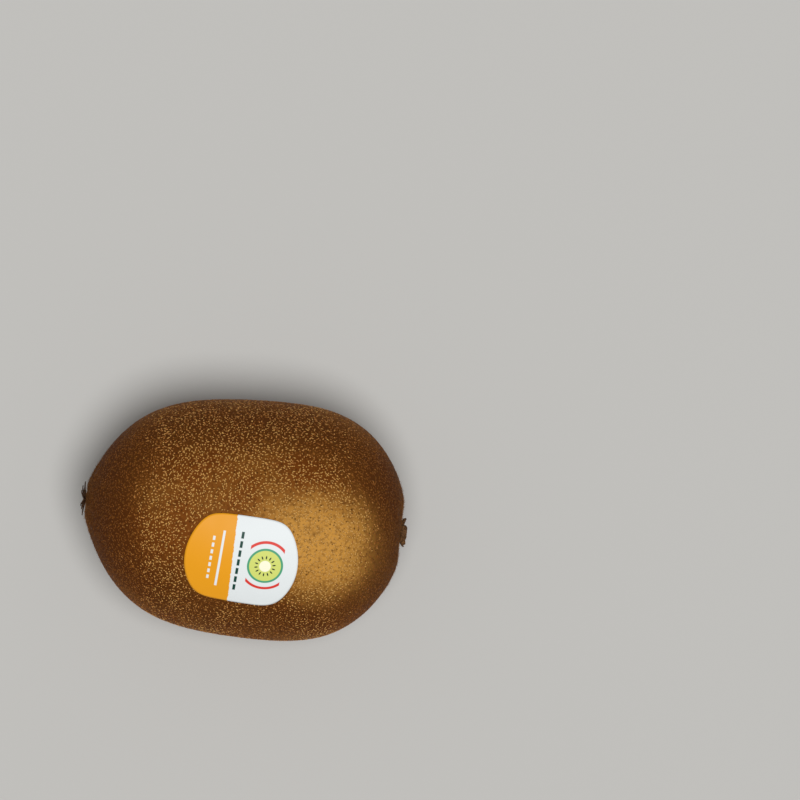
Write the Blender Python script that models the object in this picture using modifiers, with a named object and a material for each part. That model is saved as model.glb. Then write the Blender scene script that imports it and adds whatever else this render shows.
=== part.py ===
"""A whole golden kiwi fruit, lying on its side on the small flat spot that it rests on.

Metres, +Z up. The long axis runs along X, with the stem end at +X and the blossom end at -X.
The origin lies on that flat spot, under the middle of the fruit's length.

Four pieces: the fruit's body, the dried calyx with the stalk's stub at the stem end, the tuft of
dried styles at the blossom end, and the thin paper label stuck on the upper side.
"""

import math
import random

import bmesh
import bpy
from mathutils import Matrix, Vector

# Driving sizes of the fruit
LENGTH = 0.0700
WIDTH = 0.0526
HEIGHT = 0.0496
FLAT_SPOT_DEPTH = 0.00028

# The side outline: an ellipse made fuller at the stem end and in both shoulders
STEM_FULLNESS = 0.045
SHOULDER_FULLNESS = 0.34
END_EASE = -0.26

# The unevenness of a grown fruit: each swell is a share of the radius, with its lobes round the
# fruit, the turn of those lobes, and their twist from the middle to the stem end
SWELLS = ((0.007, 2, 0.9, 1.3), (0.006, 3, -0.4, 0.8))
SIDE_SWELL = 0.005
SIDE_SWELL_TURN = 1.1
SIDE_SWELL_WAVE = 3.1
SIDE_SWELL_START = 0.5

# The fruit's axis is a flat arch seen from above
AXIS_BOW = 0.0006
AXIS_BOW_LEVEL = 0.4

# The basin round the stalk, and the blunt nose with its pit at the other end
BASIN_DEPTH = 0.0019
BASIN_RADIUS = 0.0056
NOSE_HEIGHT = 0.0010
NOSE_RADIUS = 0.0058
PIT_DEPTH = 0.0013
PIT_RADIUS = 0.0024

# Furrows that run in to each end
PUCKER_DEPTH = 0.00013
PUCKER_COUNT = 11
PUCKER_RADIUS = 0.0068
PUCKER_SPREAD = 0.0030
PUCKER_UNEVENNESS = 0.7

# The body's mesh: its rings stand closer together towards both ends
BODY_SEGMENTS = 72
BODY_RINGS = 56
RING_CROWDING = 0.40

# Pieces that lie on the skin stay this far clear of it
CLEARANCE = 0.0003

# Nearer to the axis than this angle, a place at the fruit's end is blended across the axis
AXIS_POLAR = 0.02

# Dried calyx and stub of the stalk
SEPALS = 5
SEPAL_REACH = 0.0047
SEPAL_NOTCH = 0.0030
SEPAL_POINTEDNESS = 1.4
SEPAL_UNEVENNESS = 0.10
SEPAL_THICKNESS = 0.0007
STUB_RADIUS = 0.0019
STUB_HEIGHT = 0.0016
STUB_STEEPNESS = 8
STUB_HOLLOW = 0.0004
STUB_HOLLOW_RADIUS = 0.00105
CALYX_SEGMENTS = 50
CALYX_RINGS = 16

# Dried styles: the count, length and rise in degrees of the outer and of the inner ring
STYLE_RINGS = ((9, 0.0034, 16.0), (6, 0.0024, 46.0))
STYLE_SEED = 5
STYLE_UNEVENNESS = 0.14
STYLE_ROOT_RADIUS = 0.00042
STYLE_TIP_RADIUS = 0.00020
STYLE_SIDES = 5
STYLE_STEPS = 4
STYLE_CURL = 0.55
TUFT_RADIUS = 0.0013
TUFT_HEIGHT = 0.0007
TUFT_SEGMENTS = 20
TUFT_RINGS = 10

# Paper label: straight sides, and an arc at each end
LABEL_LENGTH = 0.0245
LABEL_WIDTH = 0.0204
LABEL_END_RADIUS = 0.0120
LABEL_THICKNESS = 0.00035
LABEL_AZIMUTH = math.radians(-21.8)
LABEL_TURN = math.radians(-2.0)
LABEL_CORNER_SHARPNESS = 9.0
LABEL_GRID = 15

# Display colours
SKIN_COLOUR = (0.300, 0.150, 0.045, 1.0)
CALYX_COLOUR = (0.110, 0.062, 0.030, 1.0)
STYLE_COLOUR = (0.045, 0.025, 0.014, 1.0)
LABEL_COLOUR = (0.880, 0.890, 0.860, 1.0)
SKIN_ROUGHNESS = 0.55
DRIED_ROUGHNESS = 0.85
LABEL_ROUGHNESS = 0.40
SHARP_ANGLE = math.radians(40)


def clear_scene():
    """Empty the startup scene."""
    for old in list(bpy.data.objects):
        bpy.data.objects.remove(old)


def fullness(t):
    """How much fuller than an ellipse the outline is at t, from -1 at the blossom end to 1 at the stem."""
    return 1 + STEM_FULLNESS * t + SHOULDER_FULLNESS * t**2 + END_EASE * t**4


def widest_share():
    """The outline's largest value, which the fruit's width and height are measured at."""
    steps = 400
    return max(math.sin(math.pi * i / steps) * fullness(math.cos(math.pi * i / steps)) for i in range(steps))


WIDEST = widest_share()


def bump(distance, radius):
    """1 at the axis, falling smoothly away past the radius."""
    return math.exp(-((distance / radius) ** 2))


def puckers(distance, azimuth):
    """Shallow furrows that run in to each end like the spokes of a wheel."""
    ring = bump(distance - PUCKER_RADIUS, PUCKER_SPREAD)
    spokes = math.cos(PUCKER_COUNT * azimuth + PUCKER_UNEVENNESS * math.sin(2 * azimuth))
    return PUCKER_DEPTH * ring * spokes


def swelling(t, azimuth):
    """The fruit's radius here as a share of the even outline's."""
    total = 1 + SIDE_SWELL * math.sin(SIDE_SWELL_WAVE * t + SIDE_SWELL_START) * math.cos(azimuth - SIDE_SWELL_TURN)
    for share, lobes, turn, twist in SWELLS:
        total += share * math.cos(lobes * azimuth + turn + twist * t)
    return total


def skin_point(polar, azimuth):
    """A point of the skin. polar is the angle from the stem end, azimuth the angle from the top towards +Y."""
    t = math.cos(polar)
    share = math.sin(polar) * fullness(t) / WIDEST * swelling(t, azimuth)
    y = WIDTH / 2 * share * math.sin(azimuth)
    z = HEIGHT / 2 * share * math.cos(azimuth)
    distance = math.hypot(y, z)
    x = LENGTH / 2 * t
    if t > 0:
        x -= BASIN_DEPTH * bump(distance, BASIN_RADIUS)
        x -= puckers(distance, azimuth)
    else:
        x -= NOSE_HEIGHT * bump(distance, NOSE_RADIUS)
        x += PIT_DEPTH * bump(distance, PIT_RADIUS)
        x += puckers(distance, azimuth)
    y += AXIS_BOW * (t**2 - AXIS_BOW_LEVEL)
    return Vector((x, y, z))


def skin_normal(polar, azimuth):
    """The skin's outward direction, from two short steps along it."""
    step = 1e-3
    down = skin_point(polar + step, azimuth) - skin_point(polar - step, azimuth)
    across = skin_point(polar, azimuth + step) - skin_point(polar, azimuth - step)
    return across.cross(down).normalized()


def above_skin(polar, azimuth, lift):
    """The point that stands off the skin by lift."""
    return skin_point(polar, azimuth) + skin_normal(polar, azimuth) * lift


def end_point(distance, azimuth, lift, at_stem):
    """The point over an end of the fruit, this far from the axis and standing off the skin by lift."""
    side = 1 if at_stem else -1
    low, high = 0.0, math.pi / 3
    for _ in range(30):
        middle = (low + high) / 2
        share = math.sin(middle) * fullness(side * math.cos(middle)) / WIDEST
        if share * (WIDTH + HEIGHT) / 4 < distance:
            low = middle
        else:
            high = middle
    from_end = max(low, AXIS_POLAR)
    polar = from_end if at_stem else math.pi - from_end
    near = above_skin(polar, azimuth, lift)
    if low >= AXIS_POLAR:
        return near
    across = above_skin(polar, azimuth + math.pi, lift)
    return near.lerp(across, (1 - low / AXIS_POLAR) / 2)


def node(name, mesh, colour, roughness, collection):
    """Link a mesh as a named object with its own material."""
    made = bpy.data.objects.new(name, mesh)
    collection.objects.link(made)
    material = bpy.data.materials.new(name)
    material.use_nodes = True
    surface = material.node_tree.nodes["Principled BSDF"]
    surface.inputs["Base Color"].default_value = colour
    surface.inputs["Roughness"].default_value = roughness
    surface.inputs["Metallic"].default_value = 0.0
    material.diffuse_color = colour
    mesh.materials.append(material)
    mesh.shade_smooth()
    mesh.set_sharp_from_angle(angle=SHARP_ANGLE)
    return made


def mesh_from(shape, name):
    """Turn a bmesh into a mesh with its faces pointing out."""
    if shape.calc_volume(signed=True) < 0:
        bmesh.ops.reverse_faces(shape, faces=shape.faces)
    mesh = bpy.data.meshes.new(name)
    shape.to_mesh(mesh)
    shape.free()
    return mesh


def fruit_body():
    """The body: a sphere's mesh laid onto the skin's formula, and cut flat underneath."""
    shape = bmesh.new()
    bmesh.ops.create_uvsphere(shape, u_segments=BODY_SEGMENTS, v_segments=BODY_RINGS, radius=1)
    for vertex in shape.verts:
        polar = math.acos(max(-1.0, min(1.0, vertex.co.z)))
        polar -= RING_CROWDING / 2 * math.sin(2 * polar)
        vertex.co = skin_point(polar, math.atan2(vertex.co.y, vertex.co.x))
    cut_flat(shape)
    return mesh_from(shape, "fruit_body")


def lowest_skin():
    """Height of the lowest point of the uncut skin, on a fine net of points."""
    polars = [math.radians(i) for i in range(30, 151)]
    azimuths = [math.pi + math.radians(i / 2) for i in range(-50, 51)]
    return min(skin_point(polar, azimuth).z for polar in polars for azimuth in azimuths)


REST_HEIGHT = lowest_skin() + FLAT_SPOT_DEPTH


def cut_flat(shape):
    """Cut the underside off at the resting plane and close it with one flat face."""
    plane = Vector((0, 0, REST_HEIGHT))
    down = Vector((0, 0, -1))
    everything = shape.verts[:] + shape.edges[:] + shape.faces[:]
    bmesh.ops.bisect_plane(shape, geom=everything, dist=1e-7, plane_co=plane, plane_no=down, clear_outer=True)
    rim = [edge for edge in shape.edges if edge.is_boundary]
    bmesh.ops.contextual_create(shape, geom=rim)


def sepal_outline(azimuth):
    """Reach of the calyx in this direction: pointed lobes with narrow notches between them."""
    lobe = abs(math.cos(SEPALS * azimuth / 2)) ** SEPAL_POINTEDNESS
    uneven = 1 + SEPAL_UNEVENNESS * (math.sin(2 * azimuth + 0.6) + math.cos(azimuth) / 2)
    return (SEPAL_NOTCH + (SEPAL_REACH - SEPAL_NOTCH) * lobe) * uneven


def stem_calyx():
    """Dried sepals and the stub of the stalk in one body, lying in the basin at the stem end."""
    shape = bmesh.new()
    bmesh.ops.create_uvsphere(shape, u_segments=CALYX_SEGMENTS, v_segments=CALYX_RINGS, radius=1)
    half = SEPAL_THICKNESS / 2
    for vertex in shape.verts:
        azimuth = math.atan2(vertex.co.y, vertex.co.x)
        out = math.sqrt(max(0.0, 1 - vertex.co.z**2))
        distance = sepal_outline(azimuth) * (1 - (1 - out) ** 0.75)
        rounding = math.sqrt(1 - out**6)
        lift = CLEARANCE + half
        if vertex.co.z < 0:
            lift -= half * rounding
        else:
            stub = 1 / (1 + (distance / STUB_RADIUS) ** STUB_STEEPNESS)
            hollow = STUB_HOLLOW * bump(distance, STUB_HOLLOW_RADIUS)
            lift += half * rounding + (STUB_HEIGHT - hollow) * stub
        vertex.co = end_point(distance, azimuth, lift, True)
    return mesh_from(shape, "stem_calyx")


def tuft_hub():
    """The low button that the styles grow from, in the pit at the blossom end."""
    shape = bmesh.new()
    bmesh.ops.create_uvsphere(shape, u_segments=TUFT_SEGMENTS, v_segments=TUFT_RINGS, radius=1)
    for vertex in shape.verts:
        distance = TUFT_RADIUS * math.hypot(vertex.co.x, vertex.co.y)
        azimuth = math.atan2(vertex.co.y, vertex.co.x)
        lift = CLEARANCE + TUFT_HEIGHT / 2 * (1 + vertex.co.z)
        vertex.co = end_point(distance, azimuth, lift, False)
    return mesh_from(shape, "tuft_hub")


def style_blade(azimuth, length, rise):
    """One dried style: a thin cone, bent down towards its tip and set into the hub."""
    shape = bmesh.new()
    bmesh.ops.create_cone(
        shape,
        cap_ends=True,
        segments=STYLE_SIDES,
        radius1=STYLE_ROOT_RADIUS,
        radius2=STYLE_TIP_RADIUS,
        depth=length,
        matrix=Matrix.Translation((0, 0, length / 2)),
    )
    sides = [edge for edge in shape.edges if abs(edge.verts[0].co.z - edge.verts[1].co.z) > length / 2]
    bmesh.ops.subdivide_edges(shape, edges=sides, cuts=STYLE_STEPS - 1, use_grid_fill=True)
    outward = Vector((0, math.sin(azimuth), math.cos(azimuth)))
    along = Vector((-1, 0, 0))
    sideways = along.cross(outward)
    root = end_point(TUFT_RADIUS * 0.35, azimuth, CLEARANCE + TUFT_HEIGHT * 0.55, False)
    for vertex in shape.verts:
        slope = rise * (1 - STYLE_CURL * vertex.co.z / length)
        forward = outward * math.cos(slope) + along * math.sin(slope)
        upward = along * math.cos(slope) - outward * math.sin(slope)
        vertex.co = root + forward * vertex.co.z + sideways * vertex.co.x + upward * vertex.co.y
    return bpy.data.objects.new("style", mesh_from(shape, "style"))


def style_tuft(collection):
    """All the dried styles joined to their hub by one Boolean union."""
    growth = bpy.data.collections.new("styles to join")
    bpy.context.scene.collection.children.link(growth)
    draw = random.Random(STYLE_SEED)
    for count, length, rise_degrees in STYLE_RINGS:
        start = draw.uniform(0, math.pi)
        for i in range(count):
            azimuth = start + 2 * math.pi * i / count + draw.uniform(-1, 1) * STYLE_UNEVENNESS
            size = length * (1 + draw.uniform(-1, 1) * STYLE_UNEVENNESS)
            rise = math.radians(rise_degrees) * (1 + draw.uniform(-1, 1) * STYLE_UNEVENNESS)
            growth.objects.link(style_blade(azimuth, size, rise))
    tuft = node("style_tuft", tuft_hub(), STYLE_COLOUR, DRIED_ROUGHNESS, collection)
    join = tuft.modifiers.new("join styles", "BOOLEAN")
    join.operation = "UNION"
    join.operand_type = "COLLECTION"
    join.collection = growth
    join.solver = "EXACT"
    bpy.context.view_layer.update()
    graph = bpy.context.evaluated_depsgraph_get()
    joined = bpy.data.meshes.new_from_object(tuft.evaluated_get(graph))
    tuft.modifiers.clear()
    tuft.data = joined
    for blade in list(growth.objects):
        bpy.data.objects.remove(blade)
    bpy.data.collections.remove(growth)
    return tuft


def label_outline(angle):
    """Distance from the label's middle to its edge in this direction."""
    side = LABEL_WIDTH / 2 / max(abs(math.sin(angle)), 1e-6)
    centre = LABEL_LENGTH / 2 - LABEL_END_RADIUS
    end = centre * abs(math.cos(angle)) + math.sqrt(LABEL_END_RADIUS**2 - (centre * math.sin(angle)) ** 2)
    k = LABEL_CORNER_SHARPNESS
    return (side**-k + end**-k) ** (-1 / k)


def label_point(x, y, lift):
    """Where a point of the flat label, x towards the stem and y across, comes to lie over the skin."""
    along = x * math.cos(LABEL_TURN) - y * math.sin(LABEL_TURN)
    across = x * math.sin(LABEL_TURN) + y * math.cos(LABEL_TURN)
    polar = math.acos(along / (LENGTH / 2))
    azimuth = LABEL_AZIMUTH + across / ((WIDTH + HEIGHT) / 4)
    return above_skin(polar, azimuth, lift)


def label_sheet():
    """The label before it has a thickness: a grid drawn in to its outline and bent over the skin."""
    shape = bmesh.new()
    bmesh.ops.create_grid(shape, x_segments=LABEL_GRID, y_segments=LABEL_GRID, size=1)
    for vertex in shape.verts:
        angle = math.atan2(vertex.co.y, vertex.co.x)
        distance = max(abs(vertex.co.x), abs(vertex.co.y)) * label_outline(angle)
        vertex.co = label_point(distance * math.cos(angle), distance * math.sin(angle), CLEARANCE)
    mesh = bpy.data.meshes.new("label")
    shape.to_mesh(mesh)
    shape.free()
    return mesh


def paper_label(collection):
    """The label as an object, thickened away from the skin."""
    label = node("label", label_sheet(), LABEL_COLOUR, LABEL_ROUGHNESS, collection)
    outward = skin_normal(math.pi / 2, LABEL_AZIMUTH)
    wall = label.modifiers.new("paper", "SOLIDIFY")
    wall.thickness = LABEL_THICKNESS
    wall.offset = 1 if label.data.polygons[0].normal.dot(outward) > 0 else -1
    wall.use_even_offset = True
    return label


def main():
    """Build the four pieces and stand them on the resting plane."""
    clear_scene()
    kiwi = bpy.data.collections.new("golden kiwi fruit")
    bpy.context.scene.collection.children.link(kiwi)
    pieces = [
        node("fruit_body", fruit_body(), SKIN_COLOUR, SKIN_ROUGHNESS, kiwi),
        node("stem_calyx", stem_calyx(), CALYX_COLOUR, DRIED_ROUGHNESS, kiwi),
        style_tuft(kiwi),
        paper_label(kiwi),
    ]
    for piece in pieces:
        piece.location.z = -REST_HEIGHT


main()
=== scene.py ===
"""The looks of a whole golden kiwi fruit: a speckled rind, dried calyx, dried styles and a paper label.

Metres, +Z up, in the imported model's own frame: the long axis along X, the stem end at +X, and the
fruit lying on the plane z = 0. The materials' patterns are laid out in millimetres.
"""

import logging
import math
import random
from collections.abc import Iterator
from dataclasses import dataclass
from enum import Enum
from functools import cached_property

import bmesh
import bpy
from mathutils import Matrix, Vector, noise


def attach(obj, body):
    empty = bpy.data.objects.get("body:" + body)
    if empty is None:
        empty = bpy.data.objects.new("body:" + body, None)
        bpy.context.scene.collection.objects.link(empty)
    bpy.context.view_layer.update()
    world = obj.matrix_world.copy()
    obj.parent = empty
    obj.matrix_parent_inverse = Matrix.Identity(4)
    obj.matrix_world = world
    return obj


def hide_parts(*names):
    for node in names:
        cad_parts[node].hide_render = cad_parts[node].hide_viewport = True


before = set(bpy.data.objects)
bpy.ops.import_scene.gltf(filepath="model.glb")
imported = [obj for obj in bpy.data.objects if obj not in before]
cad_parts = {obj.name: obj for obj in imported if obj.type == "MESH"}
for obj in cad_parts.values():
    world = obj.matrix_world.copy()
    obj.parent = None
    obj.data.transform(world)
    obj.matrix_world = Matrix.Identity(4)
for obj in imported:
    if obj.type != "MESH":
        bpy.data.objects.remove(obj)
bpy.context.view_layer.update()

MM = 0.001
SMALL_TURN = 1e-3
TINY = 1e-6
LOG = logging.getLogger("kiwi")

Colour = tuple[float, float, float]
Pair = tuple[float, float]


def srgb(red: float, green: float, blue: float) -> Colour:
    """Turn display values from 0 to 255 into the linear values that Blender's shaders take."""
    shares = (red / 255, green / 255, blue / 255)
    return tuple(s / 12.92 if s <= 0.04045 else ((s + 0.055) / 1.055) ** 2.4 for s in shares)


def climb(value: float, low: float, high: float) -> float:
    """A straight step from 0 at low to 1 at high."""
    return min(max((value - low) / (high - low), 0.0), 1.0)


class Signal:
    """An output socket of a material that Python's operators work on."""

    def __init__(self, graph: "Graph", socket: bpy.types.NodeSocket) -> None:
        """Keep the socket and the graph that it belongs to."""
        self.graph = graph
        self.socket = socket

    def joined(self, operation: str, first: "Operand", second: "Operand") -> "Signal":
        """Add the node for one arithmetic step.

        Args:
            operation: The Math or Vector Math operation.
            first: The left-hand signal or number.
            second: The right-hand signal or number.

        Returns:
            The node's result.
        """
        if self.socket.type == "VECTOR":
            numbers = (float(x) if isinstance(x, int | float) else x for x in (first, second))
            pair = [(x, x, x) if isinstance(x, float) else x for x in numbers]
            inputs = dict(enumerate(pair))
            node = self.graph.node("ShaderNodeVectorMath", {"operation": operation}, inputs)
            return Signal(self.graph, node.outputs["Vector"])
        node = self.graph.node("ShaderNodeMath", {"operation": operation}, {0: first, 1: second})
        return Signal(self.graph, node.outputs["Value"])

    def __add__(self, other: "Operand") -> "Signal":
        """Signal plus other."""
        return self.joined("ADD", self, other)

    def __radd__(self, other: "Operand") -> "Signal":
        """Other plus signal."""
        return self.joined("ADD", other, self)

    def __sub__(self, other: "Operand") -> "Signal":
        """Signal minus other."""
        return self.joined("SUBTRACT", self, other)

    def __rsub__(self, other: "Operand") -> "Signal":
        """Other minus signal."""
        return self.joined("SUBTRACT", other, self)

    def __mul__(self, other: "Operand") -> "Signal":
        """Signal times other."""
        return self.joined("MULTIPLY", self, other)

    def __rmul__(self, other: "Operand") -> "Signal":
        """Other times signal."""
        return self.joined("MULTIPLY", other, self)

    def __pow__(self, other: "Operand") -> "Signal":
        """Signal to the power of other."""
        return self.joined("POWER", self, other)

    def __abs__(self) -> "Signal":
        """The signal without its sign."""
        return self.joined("ABSOLUTE", self, 0.0)

    def larger(self, other: "Operand") -> "Signal":
        """The larger of the signal and the other."""
        return self.joined("MAXIMUM", self, other)

    def whole_part_removed(self) -> "Signal":
        """What is left of the signal above the next lower whole number."""
        return self.joined("FRACT", self, 0.0)

    def turn_from(self, other: "Operand") -> "Signal":
        """The angle of the place that has other along and the signal across, in radians."""
        return self.joined("ARCTAN2", self, other)


Operand = Signal | float | int


class Graph:
    """A material's node tree, built up from signals."""

    def __init__(self, name: str) -> None:
        """Start an empty material.

        Args:
            name: The material's name.
        """
        self.material = bpy.data.materials.new(name)
        self.material.use_nodes = True
        self.tree = self.material.node_tree
        self.tree.nodes.clear()

    def node(self, kind: str, settings: dict, inputs: dict) -> bpy.types.Node:
        """Add any node.

        Args:
            kind: The node's type.
            settings: The node's own settings, which are set first.
            inputs: The value or signal of each input, by its name or its number.

        Returns:
            The node.
        """
        made = self.tree.nodes.new(kind)
        for key, value in settings.items():
            setattr(made, key, value)
        for key, value in inputs.items():
            if isinstance(value, Signal):
                self.tree.links.new(value.socket, made.inputs[key])
            else:
                made.inputs[key].default_value = value
        return made

    def place_mm(self) -> Signal:
        """Object coordinates in millimetres."""
        coordinates = self.node("ShaderNodeTexCoord", {}, {})
        return Signal(self, coordinates.outputs["Object"]) * (1 / MM)

    def own_map(self, name: str) -> Signal:
        """The piece's own UV map of that name."""
        return Signal(self, self.node("ShaderNodeUVMap", {"uv_map": name}, {}).outputs["UV"])

    def parts(self, vector: Signal) -> tuple[Signal, Signal, Signal]:
        """Split a vector into its three numbers."""
        split = self.node("ShaderNodeSeparateXYZ", {}, {0: vector})
        return tuple(Signal(self, output) for output in split.outputs)

    def noise(self, place: Signal, size: float, detail: float = 2.0, roughness: float = 0.5) -> Signal:
        """Soft noise from 0 to 1.

        Args:
            place: Where to read it, in millimetres.
            size: About how far apart its lumps are, in millimetres.
            detail: How many finer layers it has.
            roughness: How strong those layers are.

        Returns:
            The noise.
        """
        inputs = {"Vector": place, "Scale": 1 / size, "Detail": detail, "Roughness": roughness}
        made = self.node("ShaderNodeTexNoise", {"noise_dimensions": "3D"}, inputs)
        return Signal(self, made.outputs["Fac"])

    def cells(self, place: Signal, size: float) -> tuple[Signal, Signal]:
        """Scattered points, one in each cell.

        Args:
            place: Where to read them, in millimetres.
            size: How far apart they are, in millimetres.

        Returns:
            The distance to the nearest point in cells, and a number from 0 to 1 that it draws.
        """
        inputs = {"Vector": place, "Scale": 1 / size, "Randomness": 1.0}
        made = self.node("ShaderNodeTexVoronoi", {"feature": "F1"}, inputs)
        drawn = self.node("ShaderNodeSeparateColor", {}, {0: Signal(self, made.outputs["Color"])})
        return Signal(self, made.outputs["Distance"]), Signal(self, drawn.outputs["Red"])

    def rise(self, value: Signal, low: Operand, high: Operand) -> Signal:
        """Add a smooth step, which falls where low is the larger.

        Args:
            value: What it depends on.
            low: The value that gives 0.
            high: The value that gives 1.

        Returns:
            The step's height, from 0 to 1.
        """
        settings = {"interpolation_type": "SMOOTHSTEP", "clamp": True}
        inputs = {"Value": value, "From Min": low, "From Max": high, "To Min": 0.0, "To Max": 1.0}
        return Signal(self, self.node("ShaderNodeMapRange", settings, inputs).outputs["Result"])

    def blend(self, share: Operand, first: Signal | Colour, second: Signal | Colour) -> Signal:
        """Mix two colours.

        Args:
            share: How much of the second one there is, from 0 to 1.
            first: The colour underneath.
            second: The colour on top.

        Returns:
            The mixed colour.
        """
        pair = [x if isinstance(x, Signal) else (*x, 1.0) for x in (first, second)]
        made = self.node("ShaderNodeMix", {"data_type": "RGBA"}, {0: share, 6: pair[0], 7: pair[1]})
        return Signal(self, made.outputs[2])

    def bumps(self, height: Signal, depth_mm: float, strength: float = 1.0) -> Signal:
        """The normal of a surface with this relief, where height runs from 0 to 1 over depth_mm."""
        inputs = {"Height": height, "Distance": depth_mm * MM, "Strength": strength}
        return Signal(self, self.node("ShaderNodeBump", {}, inputs).outputs["Normal"])

    def finish(self, varying: dict, constant: dict) -> bpy.types.Material:
        """Close the tree with its shader.

        Args:
            varying: The shader's inputs that change over the surface.
            constant: Its inputs that are the same all over.

        Returns:
            The material.
        """
        shader = self.node("ShaderNodeBsdfPrincipled", {}, {**constant, **varying})
        out = self.node("ShaderNodeOutputMaterial", {}, {})
        self.tree.links.new(shader.outputs["BSDF"], out.inputs["Surface"])
        return self.material


@dataclass(frozen=True)
class Patches:
    """Soft patches of a second colour, sized in millimetres.

    They fade in over a band of the noise's values, up to their share, and the detail and the
    roughness are the noise's own.
    """

    size: float
    band: Pair
    share: float = 1.0
    detail: float = 2.0
    roughness: float = 0.5

    def raw(self, graph: Graph, place: Signal) -> Signal:
        """The noise that makes the patches, from 0 to 1."""
        return graph.noise(place, self.size, self.detail, self.roughness)

    def cover(self, graph: Graph, place: Signal) -> Signal:
        """How strongly the second colour covers here, from 0 to the patches' share."""
        return graph.rise(self.raw(graph, place), *self.band) * self.share


@dataclass(frozen=True)
class Dots:
    """Scattered dots, at a pitch in millimetres.

    The edge says how far from its middle a dot fades out, in cells, and drawn which of the cells'
    random numbers give a faint dot and which a full one.
    """

    pitch: float
    edge: Pair
    drawn: Pair

    def cover(self, graph: Graph, place: Signal) -> Signal:
        """Find out how near a dot's middle this is.

        Args:
            graph: The material's node tree.
            place: Where, in millimetres.

        Returns:
            1 at the middle of a full dot, less at the middle of a faint one, and 0 between dots.
        """
        distance, drawn = graph.cells(place, self.pitch)
        return graph.rise(distance, *self.edge) * graph.rise(drawn, *self.drawn)


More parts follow.
